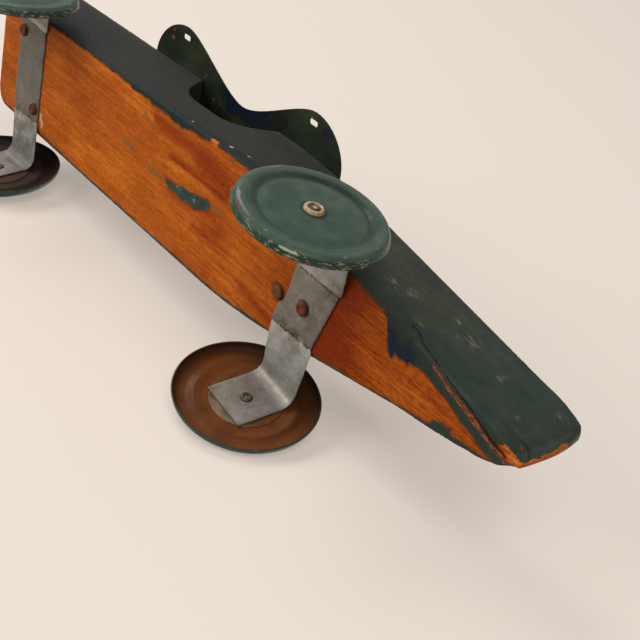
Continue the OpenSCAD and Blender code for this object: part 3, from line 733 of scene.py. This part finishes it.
def turn_piece(name, profile, stand, finish, steps, unevenness, dent_size, seed):
    """Turns a profile of (radius, height) points in millimetres round its axis, and stands it in place."""
    blank = bpy.data.meshes.new(name)
    blank.from_pydata([(r / 1000, 0, h / 1000) for r, h in profile], [], [])
    holder = put(name, blank)
    turning = holder.modifiers.new("lathe", "NODES")
    turning.node_group = turner
    inputs = {item.name: item.identifier for item in turner.interface.items_tree if item.in_out == "INPUT"}
    for label, value in (("Steps", steps), ("Unevenness", unevenness / 1000), ("Dent size", dent_size / 1000),
                         ("Seed", seed), ("Finish", finish.material)):
        turning[inputs[label]] = value
    ready = holder.evaluated_get(bpy.context.evaluated_depsgraph_get())
    mesh = bpy.data.meshes.new_from_object(ready)
    holder.modifiers.clear()
    bpy.data.objects.remove(holder)
    mesh.transform(stand)
    return tidy_mesh(mesh, 2e-6, 40)


LEAN = {"right": math.radians(1), "left": math.radians(7)}
OUT = {"right": -1, "left": 1}
ARM = {"front": {"right": 72.6, "left": 52.4}, "rear": {"right": 62.5, "left": 62.5}}
HUB_AHEAD = {"front": 7.4, "rear": 0}
RIM_R = 41.4
RIM_END = -2.4
SHEET = 0.6
PIVOT_X, PIVOT_Y = 99.1, 8
PIVOT = Matrix.Translation((PIVOT_X / 1000, PIVOT_Y / 1000, 0)) @ Matrix.Rotation(math.radians(9), 4, "Z")
STAND = {"front": PIVOT, "rear": Matrix.Translation((-0.203, 0, 0))}


def hub_level(side):
    """Height of a hub over the floor, so that its leaning lid stands on its rim."""
    return RIM_R * math.cos(LEAN[side]) - RIM_END * math.sin(LEAN[side]) + SHEET


def hub_place(end, side):
    """Stands a hub's pieces: their z runs outwards along the axle, and their z = 0 is the rim's middle."""
    hub = Vector((HUB_AHEAD[end], OUT[side] * ARM[end][side], hub_level(side))) / 1000
    facing = Matrix.Rotation(OUT[side] * (LEAN[side] - math.pi / 2), 4, "X")
    return STAND[end] @ Matrix.Translation(hub) @ facing


def spread(points, longest):
    """Adds points so that none are further apart than this, for a fine mesh."""
    dense = []
    for a, b in zip(points, points[1:]):
        a, b = np.asarray(a, float), np.asarray(b, float)
        n = max(1, math.ceil(np.linalg.norm(b - a) / longest))
        dense += [tuple(a + (b - a) * k / n) for k in range(n)]
    return dense + [tuple(points[-1])]


lid_path = [(2.45, 2.2), (24, 2.15), (29.4, 1.05), (33.2, 2.7), (RIM_R, 2.7), (RIM_R, RIM_END)]
middle_line = bend_line(lid_path, [12, 3, 5, 4.6], 10)
outer = [p + n * SHEET / 2 for p, n in middle_line]
inner = [p - n * SHEET / 2 for p, n in middle_line[::-1]]
hem = [(RIM_R + SHEET * math.cos(a), RIM_END - SHEET * math.sin(a))
       for a in np.linspace(-math.acos(0.5), math.pi + math.acos(0.5), 12)]
lid_profile = spread([*outer[:-1], *hem, *inner[1:], outer[0]], 1.6)

lid = Finish("painted_lid")
hub, hz, r = lid.turned()
spot, x, y, z = lid.place()
# The lid's middle surface: above it is the outside, below it and inside the skirt is the inside
falls = lid.node("MapRange", {"Value": r, "From Min": 24, "From Max": 29.4, "To Min": 2.15, "To Max": 1.05})
rises = lid.node("MapRange", {"Value": r, "From Min": 29.4, "From Max": 33.2, "To Min": 0, "To Max": 1.65})
drop = ((r - 36.8).most(0) / 4.6).least(1)
dome = (1 - drop * drop).most(0).maths("SQRT")
middle = falls + rises - (1 - dome) * 4.6
outside = (hz - middle).ramp(-0.05, 0.05).most(r.ramp(41.3, 41.5))
mottle = hub.noise(9, 2, 4, 0.6)
cloud = spot.noise(26, 6, 2, 0.5)
fine_wear = hub.noise(1.6, 9, 4, 0.7)
scrape = hub.noise((4, 4, 0.9), 15, 5, 0.75)
bunch = hub.noise(13, 26, 2, 0.5).ramp(0.34, 0.6)
wall = r.ramp(28, 30) * r.fall(31.6, 33.8)
# The groove's wall is darkened, most on its upper side, as painted shade with some dirt, and a dark ring
# round the washer is dirt and painted shade under it
groove_shade_and_dirt = wall * (0.25 + z.ramp(36, 66) * 0.7) + r.near(6.6, 1.8) * 0.8
# The crest is painted lighter, for wear on it and as a painted highlight
crest_wear_and_highlight = r.near(37, 3.2) * (0.4 + fine_wear.ramp(0.42, 0.7) * 0.6)
band = r.ramp(40.4, 41)
# Chips along the rim and rust spots, most of them on the right lids, where the photograph shows them
on_right = y.fall(-30, 0)
rubbed = 1 - y.ramp(-30, 0) * 0.55
chip = ((scrape - 0.5) * 4 + r.ramp(38.2, 41) * (0.7 + bunch * 0.4) * rubbed - 1.2).ramp(0, 0.1) * 0.9
chips = hub.noise((6, 6, 3), 33, 2, 0.5).tones(
    (0.36, (128, 58, 34)), (0.43, (160, 146, 84)), (0.52, (172, 170, 132)), (0.66, (122, 128, 96)))
rusted = (hub.noise(4.5, 71, 2, 0.4) + r.ramp(37, 40) * 0.2).ramp(0.86, 0.89)
knock = (span(x - 104.9, z - 4.6) - 1.3 + hz.fall(0.4, 1.2) * 5).least(span(x - 158.2, z - 30))
knock = (knock + (fine_wear - 0.5) * 3).fall(1, 1.4)
# A pale streak on the rim of a right lid is wear and a painted highlight on a dent
glint_and_wear_streak = span(x - 143, z - 8).fall(4, 9) * on_right * hz.near(0.6, 1.6)
# Pale broken lines along the crest are painted glints
crest_glint = r.near(38.3, 1.3) * hub.noise(9, 45, 3, 0.6).ramp(0.56, 0.66)
green = (mottle * 0.55 + cloud * 0.45).tones(
    (0.22, (38, 54, 42)), (0.45, (57, 77, 62)), (0.62, (70, 88, 70)), (0.85, (94, 106, 86)))
green = green.coats(
    ((groove_shade_and_dirt * (0.45 + mottle * 0.8)).least(0.95), (26, 40, 30)),
    (r.near(30.4, 0.7) * z.fall(44, 60) * mottle.ramp(0.35, 0.55) * 0.55, (78, 62, 46)),
    (crest_wear_and_highlight * 0.5, (98, 112, 94)),
    ((mottle * 0.6 + cloud * 0.4).ramp(0.5, 0.62) * r.fall(24, 30) * 0.35, (86, 88, 68)),
    # A thin pale line on the rim's upper edge is a painted highlight
    (r.near(40.5, 0.6) * z.ramp(40, 62) * 0.35, (124, 136, 118)),
    (band * 0.8, (18, 52, 40)),
    (chip, chips),
    (rusted, (120, 60, 38)),
    (knock * on_right * r.ramp(38, 39.5), (108, 54, 36)),
    ((glint_and_wear_streak + (scrape - 0.5) * 2).ramp(0.6, 0.8) * glint_and_wear_streak, (176, 184, 158)),
    (crest_glint * fine_wear.ramp(0.35, 0.6) * 0.6, (150, 164, 146)),
    (hub.spots(15, 5).fall(0.018, 0.034) * (1 - band) * 0.9, (176, 190, 170)))
rear = x.fall(-160, -150)
brown = (mottle * 0.5 + cloud * 0.5).tones((0.2, (70, 33, 6)), (0.45, (100, 52, 12)), (0.7, (120, 68, 20)))
brown = brown.coats(
    (r.near(30, 2.4) * 0.4, (62, 30, 8)),
    # The inside is painted darker towards the top, as painted shade under the hull and strap
    (z.ramp(48, 76) * 0.6, (32, 18, 8)),
    (r.ramp(36.5, 40.5) * 0.75, (48, 28, 12)),
    (fine_wear.ramp(0.62, 0.8) * 0.3, (58, 44, 30)),
    (rear * 0.9, (28, 19, 14)),
    (hub.spots(24, 9).fall(0.022, 0.034) * r.ramp(34, 36) * 0.85, (208, 176, 140)))
lid.surface(brown.coats((outside, green)), 0.36 + fine_wear * 0.12 + chip * 0.2 + (1 - outside) * 0.25,
            mottle * 0.25 + fine_wear * 0.06 - chip * 0.1 * outside, 0.7, shine=0.2,
            coat=outside * (0.34 - wall * 0.2) + (1 - outside) * x.ramp(0, 10) * 0.12, coat_rough=0.14)

tin_disc = Finish("liner_steel")
hub, _, _ = tin_disc.turned()
_, x, _, z = tin_disc.place()
grime = hub.noise(7, 4, 5, 0.65)
steel = grime.tones((0.3, (92, 62, 34)), (0.48, (112, 92, 66)), (0.66, (134, 120, 94)))
steel = steel.coats(((z.ramp(24, 38) * 0.9 + (grime - 0.5)).most(0).least(1), (96, 54, 20)),
                    (x.fall(-160, -150) * 0.8, (50, 36, 26)))
tin_disc.surface(steel, 0.55 + grime * 0.1, grime, 0.25, shine=0.15)

rivet = Finish("rivet_steel")
hub, hz, r = rivet.turned()
grime = hub.noise(1.3, 8, 4, 0.65)
head = hz.ramp(3, 3.2)
steel = grime.tones((0.3, (52, 42, 30)), (0.5, (92, 84, 68)), (0.7, (150, 142, 122)))
# The hollow end is painted near black inside, as painted shade in the hole, and the middle of the head is
# painted bright, as a painted highlight
steel = steel.coats((r.fall(1.5, 1.8) * hz.fall(1.9, 2.4), (22, 17, 12)),
                    (r.ramp(3, 3.4) * 0.8, (40, 32, 24)),
                    (head * r.ramp(1.2, 2.2) * 0.9, (96, 66, 42)),
                    (head * r.fall(0.9, 1.5) * 0.9, (206, 200, 180)))
rivet.surface(steel, 0.38, grime, 0.2, metal=0.55)

cup = Finish("cup_washer")
hub, hz, r = cup.turned()
grime = hub.noise(1.9, 3, 4, 0.65)
enamel = grime.tones((0.34, (118, 76, 42)), (0.46, (176, 142, 104)), (0.62, (206, 178, 142)))
# The washer is painted darker on its inner slope and towards its foot, as painted shade
enamel = enamel.coats((r.fall(3.2, 3.9) * 0.8, (104, 62, 36)), (hz.fall(2.5, 3.1) * 0.7, (96, 66, 44)))
cup.surface(enamel, 0.45, grime, 0.25)

BORE = 2.45
liner_profile = spread([(BORE, 1.4), (20.8, 1.4), (21, 1.5), (21, 1.8), (20.8, 1.9), (BORE, 1.9),
                        (BORE, 1.4)], 2.5)
washer_ring = [(4.35 - 1.3 * math.cos(a), 2.5 + 2 * math.sin(a)) for a in np.linspace(0.305, math.pi, 20)]
washer_profile = [(BORE, 2.5), (BORE, 3.1), *washer_ring, (BORE, 2.5)]
rivet_profile = [(0, 2.1), (1.55, 2.1), (1.7, 1.95), (1.7, -0.5), (1.85, -0.8), (2.3, -0.9), (2.9, -0.85),
                 (3.35, -0.6), (3.6, -0.3), (3.6, -0.05), (3.5, 0), (2.4, 0), (2.4, 3.2), (2.8, 3.2),
                 (2.9, 3.3), (2.86, 3.7), (2.6, 3.95), (2.1, 4.15), (1.4, 4.26), (0, 4.3)]
for i, (end, side) in enumerate((end, side) for end in ("front", "rear") for side in ("right", "left")):
    seed = 1.7 * (i + 1)
    stand = hub_place(end, side) @ Matrix.Rotation(seed * 2.1, 4, "Z")
    corner = f"{end}_{side}"
    wheel = corner + "_wheel"
    axle = "front_axle" if end == "front" else "body"
    for kind, node, profile, finish, body, steps, unevenness, dent_size in (
            ("lid", "wheel", lid_profile, lid, wheel, 180, 0.28, 14),
            ("disc", "liner", liner_profile, tin_disc, wheel, 96, 0, 10),
            ("cup", "washer", washer_profile, cup, wheel, 64, 0, 10),
            ("hub", "rivet", rivet_profile, rivet, axle, 48, 0.06, 1.5)):
        mesh = turn_piece(f"{kind}_{corner}", profile, stand, finish, steps, unevenness, dent_size, seed)
        add_piece(f"{kind}_{corner}", mesh, finish, body, f"{node}_{corner}")


# The straps: two strips of galvanised sheet, cut by hand and bent over an edge into feet that carry the
# wheels. The front one turns on its nail, and the rear one is nailed fast.
COLUMNS = 26
STRAP_T = 1.2
FOOT_DOWN = -15.5
FOOT_UP = 18


def foot_point(end, side, above):
    """A point on the middle of a foot, this far above its hub."""
    cos, sin = math.cos(LEAN[side]), math.sin(LEAN[side])
    half = STRAP_T / 2
    return np.array((OUT[side] * (ARM[end][side] + cos * half - sin * above),
                     hub_level(side) + sin * half + cos * above))


def strap_path(end, x, flat, creases):
    """The strap's path across the racer at x. A crease is (place at x = 0, change for each millimetre)."""
    right, left = [place + lean * x for place, lean in creases]
    return [foot_point(end, "right", FOOT_DOWN), foot_point(end, "right", FOOT_UP), (right, flat),
            (left, flat), foot_point(end, "left", FOOT_UP), foot_point(end, "left", FOOT_DOWN)]


def spread_path(path):
    """The rounded path with points about 2 mm apart, each with its direction to the left."""
    line = bend_line(path, [8, 1.1, 1.1, 8], 9)
    dense = []
    for (p, n), (q, m) in zip(line, line[1:]):
        pieces = 1 if np.linalg.norm(n - m) > 1e-3 else 14
        dense += [(p + (q - p) * k / pieces, n) for k in range(pieces)]
    return dense + [line[-1]]


def strap_mesh(end, flat, creases, back, front, seed):
    """A bent strip. back and front are its edges, as lists of (place across, place along)."""
    rim_back = ragged(seed, 4)
    rim_front = ragged(seed + 1, 4)
    dent = ragged(seed + 2, 7)
    top, low, creased = [], [], []
    for c in range(COLUMNS + 1):
        even = c / COLUMNS
        v = 0.35 * (0.5 - 0.5 * math.cos(math.pi * even)) + 0.65 * even
        guess = along(0, back) + (along(0, front) - along(0, back)) * v
        path = spread_path(strap_path(end, guess, flat, creases))
        thin = 0.55 if c in (0, COLUMNS) else 1
        for k, (p, n) in enumerate(path):
            xb = along(p[0], back) + 0.25 + 0.25 * rim_back(k * 1.1)
            xf = along(p[0], front) - 0.25 + 0.25 * rim_front(k * 1.1)
            x = xb + (xf - xb) * v
            half = STRAP_T / 2 * thin - abs(0.06 * dent(k * 1.3 + v * 21))
            top.append((x, *(p + n * half)))
            low.append((x, *(p - n * half)))
            bends = strap_path(end, x, flat, creases)
            creased.append(max(bends[2][0] - p[0], p[0] - bends[3][0]))
    length = len(path)
    shift = len(top)
    faces = []
    for c in range(COLUMNS):
        for k in range(length - 1):
            a, b = c * length + k, (c + 1) * length + k
            faces += [(a, a + 1, b + 1, b), (shift + a, shift + b, shift + b + 1, shift + a + 1)]
    for k in range(length - 1):
        a, b = k, COLUMNS * length + k
        faces += [(a, shift + a, shift + a + 1, a + 1), (b, b + 1, shift + b + 1, shift + b)]
    for c in range(COLUMNS):
        a, b = c * length, (c + 1) * length
        faces.append((a, b, shift + b, shift + a))
        a, b = a + length - 1, b + length - 1
        faces.append((a, shift + a, shift + b, b))
    mesh = loose_mesh(end + "_strip", top + low, faces)
    keep(mesh, "crease", np.array(creased + creased))
    mesh.transform(STAND[end])
    return tidy_mesh(mesh, 1e-6, 45)


TURN_GAP = 0.15
straps = dict(
    front=dict(
        body="front_axle", cloud_at=3, lighter=14, seed=11, flat=UNDER - TURN_GAP - STRAP_T / 2,
        creases=((-21.2, -0.134), (19.9, -0.172)),
        back=[(-95, -8.85), (-64.6, -8.85), (-18.8, -15.8), (6.45, -15.8), (10.95, -19.5), (22.3, -20.5),
              (44.4, -8.85), (95, -8.85)],
        front=[(-95, 23.65), (-64.6, 23.65), (-26, 22.9), (-24.4, 21.2), (17.2, 15.6), (18.6, 17.4),
               (44.4, 23.65), (95, 23.65)]),
    rear=dict(
        body="body", cloud_at=12, lighter=-22, seed=21, flat=UNDER - STRAP_T / 2,
        creases=((-32, 0.05), (32, -0.06)),
        back=[(-95, -20.25), (-54.5, -20.25), (-32, -35.5), (32, -35.5), (54.5, -20.25), (95, -20.25)],
        front=[(-95, 12.25), (-54.5, 12.25), (-32, -0.5), (32, -0.5), (54.5, 12.25), (95, 12.25)]))
for end, strap in straps.items():
    zinc = Finish(end + "_galvanised")
    spot, x, y, z = zinc.place()
    bend_at = zinc.kept("crease")
    cloud = spot.noise(13, strap["cloud_at"], 4, 0.6)
    fleck = spot.noise(2.6, 8, 4, 0.7)
    brush = spot.noise((5, 1, 5), 12, 3, 0.6)
    stain = spot.noise(4, 17, 5, 0.7).ramp(0.6, 0.74)
    uneven = spot.noise(2.2, 57, 4, 0.75)
    broad = spot.noise(7, 77, 3, 0.6)
    flat = bend_at.fall(-0.6, 0.3)
    # The legs get a pale bluish patchy tint as a painted sheen
    leg_sheen = bend_at.ramp(6, 12) * bend_at.fall(19, 24)
    # A pale band beside each crease is a painted highlight
    crease_highlight = bend_at.ramp(0.4, 1) * bend_at.fall(3, 7)
    # The foot's bend is painted darker and made rougher towards the tail, as painted shade that keeps its
    # highlight at the front end
    dulled_shaded_bend = bend_at.ramp(12, 16) * bend_at.fall(24, 28) * x.fall(98, 114)
    # Along the bends a dark line of uneven width is drawn, for dirt in the crease and painted shade in it,
    # with specks of dirt beside it
    off_bend = bend_at.size()
    crease_dirt_and_shade = ((1 - off_bend / 1.6) + (uneven - 0.5) * 3.6 + (broad - 0.5) * 2 - 0.4).ramp(0, 0.6)
    crease_dirt_and_shade = crease_dirt_and_shade * off_bend.fall(0.4, 2.2) * 0.85
    specks = flat * off_bend.fall(0.5, 9) * (uneven * 0.5 + broad * 0.5).ramp(0.47, 0.58) * 0.65
    share = 0.5 + (cloud - 0.5) * 0.55 + (fleck - 0.5) * 0.2 + (brush - 0.5) * 0.2
    stops = ((0.34, (94, 91, 82)), (0.44, (130, 127, 118)), (0.55, (149, 147, 139)), (0.68, (176, 176, 172)))
    grey = share.tones(*((place, [v + strap["lighter"] for v in tone]) for place, tone in stops))
    grey = grey.coats(
        (stain * (0.25 + flat * 0.4), (62, 54, 40)),
        (flat * 0.45, (90, 80, 62)),
        (leg_sheen * cloud.ramp(0.42, 0.6) * 0.45, (150, 158, 164)),
        (crease_highlight * cloud.ramp(0.4, 0.6) * 0.5, (190, 188, 180)),
        (bend_at.ramp(18, 23) * 0.3, (92, 88, 76)),
        (crease_dirt_and_shade.most(specks), (48, 40, 28)))
    if end == "front":
        off_nail = span(x - PIVOT_X, y - PIVOT_Y)
        soot = off_nail.fall(8, 19) * (uneven * 0.6 + broad * 0.4).ramp(0.5, 0.62) * flat
        # The dark ring just outside the nail's head is painted shade under the head
        grey = grey.coats((soot * 0.55, (54, 44, 32)), (off_nail.fall(4.4, 6) * 0.75, (38, 30, 22)))
    zinc.surface(grey.coats((dulled_shaded_bend * 0.3, (92, 92, 88))), 0.34 + fleck * 0.16 + stain * 0.15 + dulled_shaded_bend * 0.2,
                 cloud * 0.8 + fleck * 0.1 - crease_dirt_and_shade * 0.2, 0.8, metal=0.55)
    mesh = strap_mesh(end, strap["flat"], strap["creases"], strap["back"], strap["front"], strap["seed"])
    add_piece(end + "_strip", mesh, zinc, strap["body"], end + "_strap")

# The nails: common wire nails, hammered home and rusted. The pivot nail holds the front strap, the stop
# nail stands behind it, two hold the rear strap and four the cowl plate.
rust = Finish("rusty_nail")
spot, x, y, z = rust.place()
crust = spot.noise(1.4, 5, 5, 0.7)
worn = spot.noise(4, 14, 3, 0.6)
near_pivot = (x - PIVOT_X).size().fall(7, 8)
near_stop = (x - STOP_X).size().fall(7, 8) * z.fall(90, 100)
brown = (crust * 0.6 + worn * 0.4).tones((0.3, (52, 34, 24)), (0.48, (98, 54, 32)), (0.66, (128, 74, 44)))
brown = brown.coats((near_pivot * worn.ramp(0.3, 0.6) * 0.6, (138, 68, 38)), (near_stop * 0.6, (120, 86, 50)))
rust.surface(brown, 0.66, crust, 0.5, shine=0.15)


def nail_profile(head, high, shank, length):
    dome = [(0, 0.82), (0.3, 0.85), (0.55, 1), (0.8, 0.96), (0.93, 0.75), (1, 0.4), (0.99, 0.1), (0.96, 0)]
    return [(head * r, -high * h) for r, h in dome] + [(shank, 0), (shank, length - 2 * shank), (0, length)]


big = nail_profile(4.2, 2.2, 2, 32)
small = nail_profile(2.8, 0.8, 1, 16)
stop = PIVOT @ Vector((-0.0225, 0.0066, 0)) * 1000
nails = dict(
    pivot_nail=([(PIVOT_X, PIVOT_Y, UNDER - 1.5)], big, 0, "front_pivot_nail"),
    stop_nail=([(stop.x, stop.y, UNDER)], big, 0, "front_stop_nail"),
    strap_nails=([(-232.5, -24.5, UNDER - STRAP_T), (-209.5, 24.5, UNDER - STRAP_T)], big, 0,
                 "rear_strap_nails"),
    plate_nails=([(x, y, DECK + SHEET) for x in (42, -138) for y in (-27, 27)], small, math.pi,
                 "cowl_nails"))
for name, (places, profile, over, cad) in nails.items():
    joined = bmesh.new()
    for i, place in enumerate(places):
        stand = Matrix.Translation(Vector(place) / 1000) @ Matrix.Rotation(over, 4, "X")
        mesh = turn_piece(name, profile, stand, rust, 40, 0.22, 2.2, len(name) + i * 3.1)
        joined.from_mesh(mesh)
    mesh = bpy.data.meshes.new(name)
    joined.to_mesh(mesh)
    joined.free()
    mesh.set_sharp_from_angle(angle=math.radians(45))
    add_piece(name, mesh, rust, "body", cad)

# The cowl plate: one piece of printed tin cut from an old can, with two wings on each side, nailed on the
# deck over the cockpit. Its underside shows the old print's dark green, its top is painted and worn.
tin = Finish("cowl_tin")
spot, x, y, z = tin.place()
cloud = spot.noise((22, 16, 22), 3, 3, 0.55)
fine = spot.noise(3, 9, 5, 0.7)
rusting = spot.noise(9, 41, 5, 0.7)
scratch = spot.noise((14, 0.7, 3), 51, 4, 0.6).ramp(0.66, 0.74)
print_edge = spot.noise(9, 31, 3, 0.6) * 12
print_x = x + print_edge
blue = print_x.ramp(-62, -56) * print_x.fall(-14, -8) * (y + print_edge).fall(-30, -26)
corner_blue = ((x - 33).size() + (y + 61).size() + print_edge * 0.5).fall(7, 11)
olive = cloud.tones((0.3, (18, 24, 13)), (0.5, (31, 41, 22)), (0.7, (48, 57, 32)))
olive = olive.coats((blue.most(corner_blue) * 0.9, (16, 24, 40)),
                    (rusting.ramp(0.64, 0.7) * 0.85, (150, 80, 40)))
upper = (cloud * 0.7 + fine * 0.3).tones((0.3, (44, 74, 60)), (0.5, (60, 92, 78)), (0.72, (78, 108, 92)))
upper = upper.coats((scratch * 0.5, (150, 150, 132)), (rusting.ramp(0.6, 0.68) * 0.9, (116, 62, 36)))
tin.surface(olive.coats((z.ramp(119.6, 120), upper)), 0.28 + fine * 0.14 + rusting.ramp(0.6, 0.7) * 0.3,
            cloud * 0.8 + fine * 0.08, 0.8, metal=0.1, coat=0.25, coat_rough=0.15)
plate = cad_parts["cowl_plate"]
plate.data.materials.clear()
plate.data.materials.append(tin.material)
